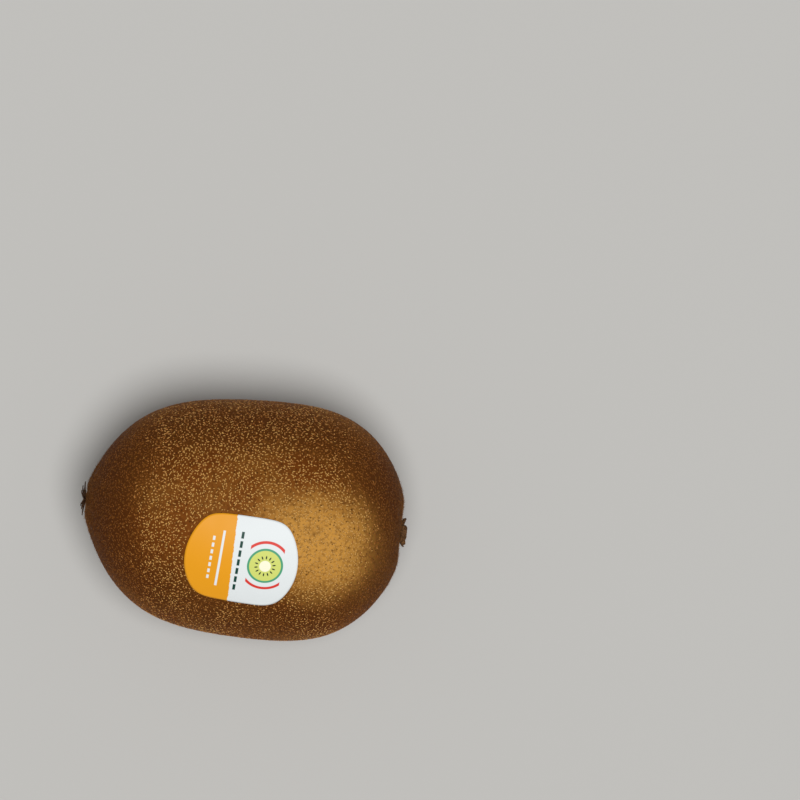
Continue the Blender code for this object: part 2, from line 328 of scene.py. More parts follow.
@dataclass(frozen=True)
class RindFinish:
    """Golden-brown rind: pale specks on a darker ground, with small dark pores between them, a painted
    highlight on its upper side and painted shade on its upper flanks and towards both ends.
    """

    ground: Colour = srgb(109, 61, 18)
    warm: Colour = srgb(113, 61, 18)
    # Golden: the tone of the random golden patches, and of the painted highlight on the upper side.
    golden: Colour = srgb(190, 137, 62)
    russet: Colour = srgb(80, 42, 12)
    # Painted shade on the upper flanks, where the light falls off.
    flank_shade: Colour = srgb(74, 38, 10)
    # Painted shade towards both ends.
    end_shade: Colour = srgb(73, 38, 12)
    speck: Colour = srgb(160, 106, 42)
    pore: Colour = srgb(62, 33, 10)
    warmth: Patches = Patches(15.0, (0.36, 0.64))
    gilding: Patches = Patches(15.0, (0.62, 0.40), 0.14)
    mottle: Patches = Patches(2.6, (0.50, 0.78), 0.45, 3.0, 0.6)
    flecks: Patches = Patches(0.75, (0.46, 0.68), 0.42, 1.0)
    # Painted shade on the upper flanks: the heights in millimetres where it fades out above and in below,
    # and its strength.
    flank_shade_top: Pair = (48.7, 41.0)
    flank_shade_foot: Pair = (26.0, 38.0)
    flank_shade_share: float = 0.8
    # The painted highlight: a golden patch where the light falls brightest on the upper side, sized in
    # millimetres.
    highlight_middle: Pair = (16.5, -4.0)
    highlight_half: Pair = (17.0, 11.5)
    highlight_level: Pair = (20.0, 42.0)
    highlight_edge: Pair = (1.35, 0.3)
    highlight_wander: float = 0.6
    highlight_wander_size: float = 7.0
    # Painted shade towards both ends: where it begins and is full along the fruit, in millimetres, and its
    # strength.
    end_shade_band: Pair = (20.0, 34.0)
    end_shade_share: float = 0.82
    specks: Dots = Dots(0.74, (0.44, 0.14), (0.05, 0.6))
    speck_share: float = 0.32
    pores: Dots = Dots(0.85, (0.29, 0.13), (0.10, 0.55))
    pore_share: float = 0.72
    grain_size: float = 0.55
    speck_height: float = 0.5
    grain_height: float = 0.22
    pore_depth: float = 0.6
    relief_mm: float = 0.10
    relief_strength: float = 0.9
    roughness: float = 0.52
    speck_gloss: float = 0.06
    grain_dullness: float = 0.12
    refraction: float = 1.42
    sheen: float = 0.03

    def painted_highlight(self, graph: Graph, place: Signal) -> Signal:
        """Find out how strongly the painted highlight gilds the rind: a golden patch where the light falls
        brightest on its upper side.

        Args:
            graph: The rind's node tree.
            place: Where, in millimetres.

        Returns:
            The painted highlight's share of the golden tone, from 0 to 1.
        """
        # Painted highlight: gold that fades out from the patch's middle and below its heights.
        along, across, level = graph.parts(place)
        along = (along - self.highlight_middle[0]) * (1 / self.highlight_half[0])
        across = (across - self.highlight_middle[1]) * (1 / self.highlight_half[1])
        uneven = graph.noise(place, self.highlight_wander_size, detail=3.0) - 0.5
        distance = (along * along + across * across) ** 0.5 + uneven * self.highlight_wander
        return graph.rise(distance, *self.highlight_edge) * graph.rise(level, *self.highlight_level)

    def tones(self, graph: Graph, place: Signal) -> Signal:
        """Colour the rind without its specks and pores: random tones, painted shade on the upper flanks and
        towards both ends, and the painted highlight.

        Args:
            graph: The rind's node tree.
            place: Where, in millimetres.

        Returns:
            The colour.
        """
        along, _, level = graph.parts(place)
        # Painted shade on the upper flanks, where the light falls off.
        flank_shade = graph.rise(level, *self.flank_shade_top) * graph.rise(level, *self.flank_shade_foot)
        # Painted shade towards both ends.
        ends = graph.rise(abs(along), *self.end_shade_band)
        layers = [
            (self.warmth.cover(graph, place), self.warm),
            (self.gilding.cover(graph, place), self.golden),
            (flank_shade * self.flank_shade_share, self.flank_shade),
            (self.painted_highlight(graph, place), self.golden),
            (self.mottle.cover(graph, place), self.russet),
            (self.flecks.cover(graph, place), self.russet),
            (ends * self.end_shade_share, self.end_shade),
        ]
        colour = self.ground
        for share, tone in layers:
            colour = graph.blend(share, colour, tone)
        return colour

    def material(self) -> bpy.types.Material:
        """Make the rind's material.

        Returns:
            The material.
        """
        graph = Graph("kiwi_rind")
        place = graph.place_mm()
        speck = self.specks.cover(graph, place)
        pore = self.pores.cover(graph, place)
        grain = graph.noise(place, self.grain_size)
        colour = graph.blend(speck * self.speck_share, self.tones(graph, place), self.speck)
        colour = graph.blend(pore * self.pore_share, colour, self.pore)
        relief = speck * self.speck_height + grain * self.grain_height - pore * self.pore_depth
        varying = {
            "Base Color": colour,
            "Roughness": self.roughness - speck * self.speck_gloss + grain * self.grain_dullness,
            "Normal": graph.bumps(relief, self.relief_mm, self.relief_strength),
        }
        return graph.finish(varying, {"IOR": self.refraction, "Specular IOR Level": self.sheen})


@dataclass(frozen=True)
class PlainFinish:
    """One plain colour, for a batch of tiny specks or hairs."""

    name: str
    colour: Colour
    roughness: float = 0.46
    sheen: float = 0.07

    def material(self) -> bpy.types.Material:
        """Make the batch's material.

        Returns:
            The material.
        """
        constant = {
            "Base Color": (*self.colour, 1.0),
            "Roughness": self.roughness,
            "Specular IOR Level": self.sheen,
        }
        return Graph(self.name).finish({}, constant)


@dataclass(frozen=True)
class DriedFinish:
    """Dry, fibrous plant matter, streaked light and dark."""

    name: str
    light: Colour
    dark: Colour
    fibres: Patches = Patches(0.35, (0.35, 0.68), 1.0, 3.0, 0.7)
    stains: Patches = Patches(1.6, (0.5, 0.75), 0.6)
    fibre_depth: float = 0.12
    roughness: float = 0.85
    sheen: float = 0.15

    def material(self) -> bpy.types.Material:
        """Make the dried matter's material.

        Returns:
            The material.
        """
        graph = Graph(self.name)
        place = graph.place_mm()
        colour = graph.blend(self.fibres.cover(graph, place), self.dark, self.light)
        colour = graph.blend(self.stains.cover(graph, place), colour, self.dark)
        relief = graph.bumps(self.fibres.raw(graph, place), self.fibre_depth)
        constant = {"Roughness": self.roughness, "Specular IOR Level": self.sheen}
        return graph.finish({"Base Color": colour, "Normal": relief}, constant)


@dataclass(frozen=True)
class PrintedRow:
    """A row of plain bars across the label, in millimetres on the label's own map."""

    level: float
    half_height: float
    half_width: float
    pitch: float
    reach: float
    ink: Colour

    def outside(self, up: Signal, across: Signal) -> Signal:
        """Measure how far a place is from the nearest bar.

        Args:
            up: How far the place is from the label's middle towards the stem end.
            across: How far it is beside the middle.

        Returns:
            The distance, which is under 0 on a bar.
        """
        in_bay = abs((across * (1 / self.pitch) + 0.5).whole_part_removed() - 0.5) * self.pitch
        above = abs(up - self.level) - self.half_height
        return above.larger(in_bay - self.half_width).larger(abs(across) - self.reach)


@dataclass(frozen=True)
class PaperFinish:
    """Coated white paper, printed with an amber band, rows of bars and a plain sliced-fruit motif."""

    white: Colour = srgb(223, 228, 229)
    amber: Colour = srgb(228, 154, 24)
    red: Colour = srgb(214, 58, 48)
    green: Colour = srgb(74, 156, 118)
    flesh: Colour = srgb(206, 214, 112)
    core: Colour = srgb(246, 244, 214)
    seed: Colour = srgb(34, 48, 36)
    edge: float = 0.06
    band_top: float = -1.9
    band_slope: float = 0.05
    brush_size: float = 1.1
    brush_depth: float = 0.7
    rows: tuple[PrintedRow, ...] = (
        PrintedRow(-0.55, 0.30, 0.72, 2.0, 7.0, srgb(10, 62, 52)),
        PrintedRow(-4.6, 0.26, 6.4, 20.0, 10.0, srgb(223, 228, 229)),
        PrintedRow(-6.6, 0.26, 0.45, 1.5, 5.3, srgb(223, 228, 229)),
    )
    slice_middle: Pair = (5.3, 0.0)
    slice_radius: float = 3.9
    flesh_share: float = 0.88
    core_share: float = 0.32
    arc_share: float = 1.34
    arc_half_width: float = 0.30
    arc_reach: float = 0.95
    seeds: int = 14
    seed_ring: float = 0.50
    seed_slimness: float = 6.5
    seed_shortness: float = 2.6
    seed_size: float = 0.25
    roughness: float = 0.48
    gloss: float = 0.22

    def material(self) -> bpy.types.Material:
        """Make the paper's material, drawn on the label's own map in millimetres.

        Returns:
            The material.
        """
        graph = Graph("label_paper")
        flat = graph.own_map(PaperLabel.PRINT_MAP)
        up, across, _ = graph.parts(flat)
        brushed = (graph.noise(flat, self.brush_size, detail=3.0, roughness=0.6) - 0.5) * self.brush_depth
        band = up + across * self.band_slope - self.band_top + brushed
        colour = self.under(graph, band, self.white, self.amber)
        colour = self.slice_motif(graph, colour, up - self.slice_middle[0], across - self.slice_middle[1])
        for row in self.rows:
            colour = self.under(graph, row.outside(up, across), colour, row.ink)
        constant = {"Roughness": self.roughness, "Specular IOR Level": self.gloss}
        return graph.finish({"Base Color": colour}, constant)

    def under(self, graph: Graph, height: Signal, colour: Signal | Colour, ink: Colour) -> Signal:
        """Print the ink where the height, in millimetres, is under 0."""
        return graph.blend(graph.rise(height, self.edge, -self.edge), colour, ink)

    def slice_motif(self, graph: Graph, colour: Signal, up: Signal, across: Signal) -> Signal:
        """Print a round slice of fruit between two arcs.

        Args:
            graph: The label's node tree.
            colour: What is under it.
            up: How far the place is from the slice's middle towards the stem end.
            across: How far it is beside the middle.

        Returns:
            The colour with the slice on it.
        """
        radius = self.slice_radius
        distance = (up * up + across * across) ** 0.5
        arc = abs(distance - radius * self.arc_share) - self.arc_half_width
        colour = self.under(graph, arc.larger(abs(up) - radius * self.arc_reach), colour, self.red)
        colour = self.under(graph, distance - radius, colour, self.green)
        colour = self.under(graph, distance - radius * self.flesh_share, colour, self.flesh)
        colour = self.under(graph, distance - radius * self.core_share, colour, self.core)
        seed_turn = 2 * math.pi / self.seeds
        turns = across.turn_from(up) * (1 / seed_turn) + self.seeds
        sideways = (turns.whole_part_removed() - 0.5) * seed_turn * distance
        outwards = distance - radius * self.seed_ring
        seed = ((sideways * self.seed_slimness) ** 2 + (outwards * self.seed_shortness) ** 2) ** 0.5 - 1.0
        return self.under(graph, seed * self.seed_size, colour, self.seed)


class End(Enum):
    """An end of the fruit, as the direction that it lies in along X."""

    STEM = 1
    BLOSSOM = -1

    def polar(self, from_end: float) -> float:
        """The angle from the stem end of a place that is from_end round from this end."""
        return from_end if self is End.STEM else math.pi - from_end


@dataclass(frozen=True)
class FruitForm:
    """The fruit's shape: the same formula and sizes that its solid has."""

    length: float = 0.0700
    width: float = 0.0526
    height: float = 0.0496
    flat_spot_depth: float = 0.00028
    stem_fullness: float = 0.045
    shoulder_fullness: float = 0.34
    end_ease: float = -0.26
    # The share, the number of lobes, the turn and the twist of each swelling.
    swells: tuple[tuple[float, int, float, float], ...] = ((0.007, 2, 0.9, 1.3), (0.006, 3, -0.4, 0.8))
    side_swell: float = 0.005
    side_swell_turn: float = 1.1
    side_swell_wave: float = 3.1
    side_swell_start: float = 0.5
    axis_bow: float = 0.0006
    axis_bow_level: float = 0.4
    basin_depth: float = 0.0019
    basin_radius: float = 0.0056
    nose_height: float = 0.0010
    nose_radius: float = 0.0058
    pit_depth: float = 0.0013
    pit_radius: float = 0.0024
    pucker_depth: float = 0.00013
    pucker_count: int = 11
    pucker_radius: float = 0.0068
    pucker_spread: float = 0.0030
    pucker_unevenness: float = 0.7
    axis_polar: float = 0.02
    widest_steps: int = 400
    underside_polar: tuple[int, int] = (30, 150)
    underside_azimuth: int = 25
    end_limit: float = math.pi / 3
    end_halvings: int = 30

    @staticmethod
    def bump(distance: float, radius: float) -> float:
        """1 at the axis, falling smoothly away past the radius."""
        return math.exp(-((distance / radius) ** 2))

    @property
    def mean_radius(self) -> float:
        """The even outline's radius halfway along, between the half width and the half height."""
        return (self.width + self.height) / 4

    def fullness(self, t: float) -> float:
        """How much fuller than an ellipse the outline is at t, from -1 at the blossom end to 1."""
        return 1 + self.stem_fullness * t + self.shoulder_fullness * t**2 + self.end_ease * t**4

    @cached_property
    def widest(self) -> float:
        """The outline's largest value, which the width and height are measured at."""
        angles = (math.pi * i / self.widest_steps for i in range(self.widest_steps))
        return max(math.sin(angle) * self.fullness(math.cos(angle)) for angle in angles)

    def swelling(self, t: float, azimuth: float) -> float:
        """Work out how the fruit swells out of its even outline.

        Args:
            t: The place along the axis, from -1 at the blossom end to 1.
            azimuth: The angle from the top towards +Y.

        Returns:
            The radius here as a share of the even outline's.
        """
        wave = math.sin(self.side_swell_wave * t + self.side_swell_start)
        total = 1 + self.side_swell * wave * math.cos(azimuth - self.side_swell_turn)
        for share, lobes, turn, twist in self.swells:
            total += share * math.cos(lobes * azimuth + turn + twist * t)
        return total

    def puckers(self, distance: float, azimuth: float) -> float:
        """Work out the shallow furrows that run in to each end like the spokes of a wheel.

        Args:
            distance: How far the place is from the long axis.
            azimuth: The angle from the top towards +Y.

        Returns:
            How deep the rind lies here, which is under 0 on a ridge.
        """
        ring = self.bump(distance - self.pucker_radius, self.pucker_spread)
        spokes = math.cos(self.pucker_count * azimuth + self.pucker_unevenness * math.sin(2 * azimuth))
        return self.pucker_depth * ring * spokes

    def raw_point(self, polar: float, azimuth: float) -> Vector:
        """Find a point of the rind round the fruit's own middle.

        Args:
            polar: The angle from the stem end.
            azimuth: The angle from the top towards +Y.

        Returns:
            The point.
        """
        t = math.cos(polar)
        share = math.sin(polar) * self.fullness(t) / self.widest * self.swelling(t, azimuth)
        y = self.width / 2 * share * math.sin(azimuth)
        z = self.height / 2 * share * math.cos(azimuth)
        distance = math.hypot(y, z)
        x = self.length / 2 * t
        if t > 0:
            x -= self.basin_depth * self.bump(distance, self.basin_radius)
            x -= self.puckers(distance, azimuth)
        else:
            x -= self.nose_height * self.bump(distance, self.nose_radius)
            x += self.pit_depth * self.bump(distance, self.pit_radius)
            x += self.puckers(distance, azimuth)
        y += self.axis_bow * (t**2 - self.axis_bow_level)
        return Vector((x, y, z))

    @cached_property
    def rest_height(self) -> float:
        """Find the resting plane.

        Returns:
            Its height, measured from the fruit's own middle.
        """
        first, last = self.underside_polar
        polars = [math.radians(i) for i in range(first, last + 1)]
        half_degrees = range(-2 * self.underside_azimuth, 2 * self.underside_azimuth + 1)
        azimuths = [math.pi + math.radians(i / 2) for i in half_degrees]
        lowest = min(self.raw_point(polar, azimuth).z for polar in polars for azimuth in azimuths)
        return lowest + self.flat_spot_depth

    def outward(self, polar: float, azimuth: float) -> Vector:
        """Find the rind's outward direction, from two short steps along it.

        Args:
            polar: The angle from the stem end.
            azimuth: The angle from the top towards +Y.

        Returns:
            The direction, of length 1.
        """
        down = self.raw_point(polar + SMALL_TURN, azimuth) - self.raw_point(polar - SMALL_TURN, azimuth)
        across = self.raw_point(polar, azimuth + SMALL_TURN) - self.raw_point(polar, azimuth - SMALL_TURN)
        return across.cross(down).normalized()

    def above(self, polar: float, azimuth: float, lift: float) -> Vector:
        """The point that stands off the rind by lift, with the fruit at rest on z = 0."""
        point = self.raw_point(polar, azimuth) + self.outward(polar, azimuth) * lift
        return point - Vector((0, 0, self.rest_height))

    def end_point(self, distance: float, azimuth: float, lift: float, end: End) -> Vector:
        """Find the point over an end of the fruit.

        Args:
            distance: How far it is from the long axis.
            azimuth: The angle from the top towards +Y.
            lift: How far it stands off the rind.
            end: The end.

        Returns:
            The point.
        """
        low, high = 0.0, self.end_limit
        for _ in range(self.end_halvings):
            middle = (low + high) / 2
            share = math.sin(middle) * self.fullness(end.value * math.cos(middle)) / self.widest
            if share * self.mean_radius < distance:
                low = middle
            else:
                high = middle
        polar = end.polar(max(low, self.axis_polar))
        near = self.above(polar, azimuth, lift)
        if low >= self.axis_polar:
            return near
        across = self.above(polar, azimuth + math.pi, lift)
        return near.lerp(across, (1 - low / self.axis_polar) / 2)


class Piece:
    """What every piece of the fruit has in common."""

    @staticmethod
    def smooth_object(shape: bmesh.types.BMesh, name: str, material: bpy.types.Material) -> bpy.types.Object:
        """Turn a bmesh into a smooth object with its material.

        Args:
            shape: The mesh under construction, which is freed.
            name: The object's name.
            material: What it wears.

        Returns:
            The object, at the origin.
        """
        mesh = bpy.data.meshes.new(name)
        shape.to_mesh(mesh)
        shape.free()
        mesh.materials.append(material)
        mesh.shade_smooth()
        made = bpy.data.objects.new(name, mesh)
        bpy.context.scene.collection.objects.link(made)
        return made

    @staticmethod
    def placed(made: bpy.types.Object, slot: str, node: str | None = None) -> bpy.types.Object:
        """Tie a piece to the fruit.

        Args:
            made: The piece.
            slot: The material slot that it would wear; not used.
            node: The solid that it stands for, if any.

        Returns:
            The piece.
        """
        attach(made, "root")
        if node:
            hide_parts(node)
        return made

    @staticmethod
    def copies(shape: bmesh.types.BMesh, doublings: int) -> list[list[bmesh.types.BMVert]]:
        """Double everything in a bmesh this many times over, in place.

        Args:
            shape: The mesh under construction.
            doublings: How many times it doubles.

        Returns:
            The vertices of each copy, all in the same order.
        """
        blocks = [shape.verts[:]]
        for _ in range(doublings):
            everything = shape.verts[:] + shape.edges[:] + shape.faces[:]
            twins = bmesh.ops.duplicate(shape, geom=everything)["vert_map"]
            blocks += [[twins[vertex] for vertex in block] for block in blocks]
        return blocks

    @staticmethod
    def face_outwards(shape: bmesh.types.BMesh) -> None:
        """Turn every body of a bmesh so that its faces point outwards.

        Moved vertices leave the normals as they were, and the recalculation starts from them, so
        they are brought up to date first.

        Args:
            shape: The mesh under construction.
        """
        shape.normal_update()
        bmesh.ops.recalc_face_normals(shape, faces=shape.faces[:])


@dataclass
class Rind:
    """The fruit's skin as a fine mesh."""

    form: FruitForm
    finish: RindFinish = RindFinish()
    subdivisions: int = 7
    sink: float = 0.11 * MM
    dimple_depth: float = 0.035 * MM
    dimple_size: float = 2.4 * MM
    wave_depth: float = 0.05 * MM
    wave_size: float = 9.0 * MM

    def relief(self, point: Vector) -> float:
        """The rind's fine unevenness here, as a height."""
        fine = noise.noise(point / self.dimple_size) * self.dimple_depth
        return fine + noise.noise(point / self.wave_size) * self.wave_depth

    def surface(self, polar: float, azimuth: float) -> Vector:
        """Find a point of the finished skin, relief included.

        Args:
            polar: The angle from the stem end.
            azimuth: The angle from the top towards +Y.

        Returns:
            The point.
        """
        even = self.form.above(polar, azimuth, 0.0)
        lift = self.relief(even) - self.sink
        point = self.form.above(polar, azimuth, lift)
        point.z = max(point.z, 0.0)
        return point

    def build(self) -> list[bpy.types.Object]:
        """Make the skin, which stands for the body's solid.

        Returns:
            The skin alone.
        """
        shape = bmesh.new()
        bmesh.ops.create_icosphere(shape, subdivisions=self.subdivisions, radius=1)
        for vertex in shape.verts:
            polar = math.acos(max(-1.0, min(1.0, vertex.co.x)))
            vertex.co = self.surface(polar, math.atan2(vertex.co.y, vertex.co.z))
        Piece.face_outwards(shape)
        skin = Piece.smooth_object(shape, "rind", self.finish.material())
        return [Piece.placed(skin, "kiwi_skin", "fruit_body")]


@dataclass
class PaperLabel:
    """The thin paper label on the fruit's upper side."""

    form: FruitForm
    finish: PaperFinish = PaperFinish()
    length: float = 24.6 * MM
    width: float = 20.3 * MM
    end_radius: float = 13.8 * MM
    azimuth: float = math.radians(-20.8)
    turn: float = math.radians(-2.0)
    slant: float = 0.035
    corner_sharpness: float = 13.0
    grid: int = 56
    lift: float = -0.02 * MM
    thickness: float = 0.09 * MM
    wave_size: float = 3.0 * MM
    wave_depth: float = 0.05 * MM
    loose_size: float = 9.0 * MM
    edge_rise: float = 0.35 * MM
    PRINT_MAP = "print"

    def outline(self, angle: float) -> float:
        """Measure from the label's middle to its edge.

        Args:
            angle: The direction, from the stem end round.

        Returns:
            The distance.
        """
        side = self.width / 2 / max(abs(math.sin(angle)), TINY)
        centre = self.length / 2 - self.end_radius
        beyond = math.sqrt(self.end_radius**2 - (centre * math.sin(angle)) ** 2)
        end = centre * abs(math.cos(angle)) + beyond
        k = self.corner_sharpness
        return (side**-k + end**-k) ** (-1 / k)

    def ripple(self, x: float, y: float) -> float:
        """Let the paper stand off the rind in slight waves, and more towards its edge.

        Args:
            x: How far the place is from the label's middle along it.
            y: How far it is beside the middle.

        Returns:
            The height off the rind.
        """
        edge = math.hypot(x, y) / self.outline(math.atan2(y, x))
        wave = noise.noise(Vector((x, y, 0.0)) / self.wave_size)
        loose = noise.noise(Vector((x, y, 5.0)) / self.loose_size)
        return self.wave_depth * (wave + 1) / 2 + self.edge_rise * max(0.0, loose) * edge**8

    def on_fruit(self, x: float, y: float, lift: float) -> Vector:
        """Find where a point of the flat label comes to lie.

        Args:
            x: How far it is from the label's middle towards the stem end.
            y: How far it is beside the middle.
            lift: How far it stands off the rind.

        Returns:
            The point.
        """
        along = x * math.cos(self.turn) - y * math.sin(self.turn)
        across = x * math.sin(self.turn) + y * math.cos(self.turn)
        polar = math.acos(along / (self.form.length / 2))
        return self.form.above(polar, self.azimuth + across / self.form.mean_radius, lift)

    def covers(self, point: Vector, margin: float) -> bool:
        """Find out if the label lies over a point of the rind.

        Args:
            point: The point.
            margin: How far past the label's edge still counts.

        Returns:
            True where it does.
        """
        azimuth = math.atan2(point.y, point.z + self.form.rest_height)
        if abs(azimuth - self.azimuth) > math.pi / 2:
            return False
        across = (azimuth - self.azimuth) * self.form.mean_radius
        x = point.x * math.cos(self.turn) + across * math.sin(self.turn)
        y = -point.x * math.sin(self.turn) + across * math.cos(self.turn)
        return math.hypot(x, y) < self.outline(math.atan2(y, x)) + margin

    def build(self) -> list[bpy.types.Object]:
        """Make the label, which stands for its solid.

        Returns:
            The label alone.
        """
        shape = bmesh.new()
        bmesh.ops.create_grid(shape, x_segments=self.grid, y_segments=self.grid, size=1)
        print_map = shape.loops.layers.uv.new(self.PRINT_MAP)
        flat = {}
        for vertex in shape.verts:
            angle = math.atan2(vertex.co.y, vertex.co.x)
            distance = max(abs(vertex.co.x), abs(vertex.co.y)) * self.outline(angle)
            x, y = distance * math.cos(angle), distance * math.sin(angle)
            flat[vertex.index] = (x / MM, y / MM)
            vertex.co = self.on_fruit(x + self.slant * y, y, self.lift + self.ripple(x, y))
        for face in shape.faces:
            for loop in face.loops:
                loop[print_map].uv = flat[loop.vert.index]
        label = Piece.smooth_object(shape, "paper_label", self.finish.material())
        wall = label.modifiers.new("paper", "SOLIDIFY")
        wall.thickness = self.thickness
        outward = self.form.outward(math.pi / 2, self.azimuth)
        wall.offset = 1 if label.data.polygons[0].normal.dot(outward) > 0 else -1
        return [Piece.placed(label, "label_paper", "label")]


@dataclass
class Specks:
    """The raised corky specks on the rind, in batches from dark to pale that follow its tone, its painted
    highlight and its painted shade.
    """

    form: FruitForm
    rind: Rind
    label: PaperLabel
    # The colour of each batch, and how many times its first speck is doubled.
    tones: tuple[tuple[Colour, int], ...] = (
        (srgb(110, 63, 21), 12),
        (srgb(134, 80, 30), 13),
        (srgb(160, 102, 45), 12),
        (srgb(196, 138, 75), 12),
        (srgb(208, 158, 88), 12),
    )
    # Paler specks under the painted highlight and on the top, darker ones under the painted shade at the
    # ends.
    top_highlight_level: Pair = (42.0, 49.5)
    highlight_reach: float = 1.3
    highlight_weight: float = 0.9
    top_highlight_weight: float = 0.7
    patch_weight: float = 0.3
    patch_size: float = 9.0 * MM
    unevenness: float = 0.19
    seed: int = 11
    spare: float = 1.35
    jitter: float = 0.5
    pole_sine: float = 0.05
    pole_gap: float = 0.01
    floor_gap: float = 0.3 * MM
    label_gap: float = 0.4 * MM
    sides: int = 5
    half_length: Pair = (0.17 * MM, 0.46 * MM)
    shortness: float = 1.5
    half_width: Pair = (0.11 * MM, 0.18 * MM)
    half_height: float = 0.05 * MM
    flow_size: float = 7.0 * MM
    turn_spread: float = 0.6
    lean: float = 0.12

    @property
    def count(self) -> int:
        """How many specks there are in all."""
        return sum(2**doublings for _, doublings in self.tones)

    def places(self, draw: random.Random) -> Iterator[Pair]:
        """Spread even but unordered places over the whole rind.

        Args:
            draw: The source of random numbers.

        Returns:
            The polar angle and the azimuth of each place, one after another.
        """
        wanted = int(self.count * self.spare)
        golden = math.pi * (3 - math.sqrt(5))
        step = math.sqrt(4 * math.pi / wanted)
        for i in range(wanted):
            t = 1 - 2 * (i + 0.5) / wanted
            polar = math.acos(t) + draw.uniform(-self.jitter, self.jitter) * step
            turn = draw.uniform(-self.jitter, self.jitter) * step / max(math.sin(polar), self.pole_sine)
            yield min(max(polar, self.pole_gap), math.pi - self.pole_gap), i * golden + turn

    def paleness(self, point: Vector) -> float:
        """Judge how pale the rind is at a point, its painted highlight and painted shade included.

        Args:
            point: The point.

        Returns:
            About -1 in the painted shade at the ends, and up to 1 on the painted highlight.
        """
        finish = self.rind.finish
        x, y, z = point / MM
        (middle_x, middle_y), (half_x, half_y) = finish.highlight_middle, finish.highlight_half
        distance = math.hypot((x - middle_x) / half_x, (y - middle_y) / half_y)
        # Painted highlight on the upper side and the top, painted shade towards the ends.
        painted_highlight = max(0.0, 1 - distance / self.highlight_reach) * climb(z, *finish.highlight_level)
        level = climb(z, *self.top_highlight_level)
        end = climb(abs(x), *finish.end_shade_band)
        patch = noise.noise(point / self.patch_size)
        return self.highlight_weight * painted_highlight + self.top_highlight_weight * level - end + self.patch_weight * patch

    def spots(self, draw: random.Random) -> list[Pair]:
        """Choose as many places as there are specks.

        Args:
            draw: The source of random numbers.

        Returns:
            Their polar angles and azimuths, from the darkest place to the palest.
        """
        kept = []
        for polar, azimuth in self.places(draw):
            point = self.form.above(polar, azimuth, 0.0)
            if point.z > self.floor_gap and not self.label.covers(point, self.label_gap):
                kept.append((self.paleness(point) + draw.gauss(0, self.unevenness), polar, azimuth))
        chosen = sorted(draw.sample(kept, self.count))
        return [(polar, azimuth) for _, polar, azimuth in chosen]

    def stand(self, polar: float, azimuth: float, draw: random.Random) -> Matrix:
        """Place, turn and size one speck.

        Args:
            polar: The angle from the stem end.
            azimuth: The angle from the top towards +Y.
            draw: The source of random numbers.

        Returns:
            What takes a ball of radius 1 there.
        """
        normal = self.form.outward(polar, azimuth)
        point = self.rind.surface(polar, azimuth)
        flow = noise.noise(point / self.flow_size + Vector((self.seed, 0, 0))) * math.pi
        turn = flow + draw.gauss(0, self.turn_spread)
        east = Vector((1, 0, 0)) - normal * normal.x
        east = (east if east.length > self.pole_sine else normal.orthogonal()).normalized()
        north = normal.cross(east)
        along = east * math.cos(turn) + north * math.sin(turn)
        along = (along + normal * draw.gauss(0, self.lean)).normalized()
        across = normal.cross(along).normalized()
        up = along.cross(across)
        shortest, longest = self.half_length
        half_length = shortest + (longest - shortest) * draw.random() ** self.shortness
        half_width = draw.uniform(*self.half_width)
        axes = Matrix([along * half_length, across * half_width, up * self.half_height]).transposed()
        return Matrix.Translation(point) @ axes.to_4x4()

    def batch(self, name: str, tone: Colour, doublings: int, stands: Iterator[Matrix]) -> bpy.types.Object:
        """Make one batch.

        Args:
            name: The batch's name.
            tone: Its colour.
            doublings: How many times its first speck is doubled.
            stands: The place, turn and size of each speck, from this batch's first one on.

        Returns:
            The batch as one object.
        """
        shape = bmesh.new()
        bmesh.ops.create_uvsphere(shape, u_segments=self.sides, v_segments=2, radius=1)
        for block in Piece.copies(shape, doublings):
            stand = next(stands)
            for vertex in block:
                vertex.co = stand @ vertex.co
        made = Piece.smooth_object(shape, name, PlainFinish(name, tone).material())
        return Piece.placed(made, "kiwi_skin")

    def build(self) -> list[bpy.types.Object]:
        """Make all the batches.

        Returns:
            One object for each tone.
        """
        draw = random.Random(self.seed)
        stands = (self.stand(polar, azimuth, draw) for polar, azimuth in self.spots(draw))
        return [
            self.batch(f"specks_{i}", tone, doublings, stands)
            for i, (tone, doublings) in enumerate(self.tones, start=1)
        ]


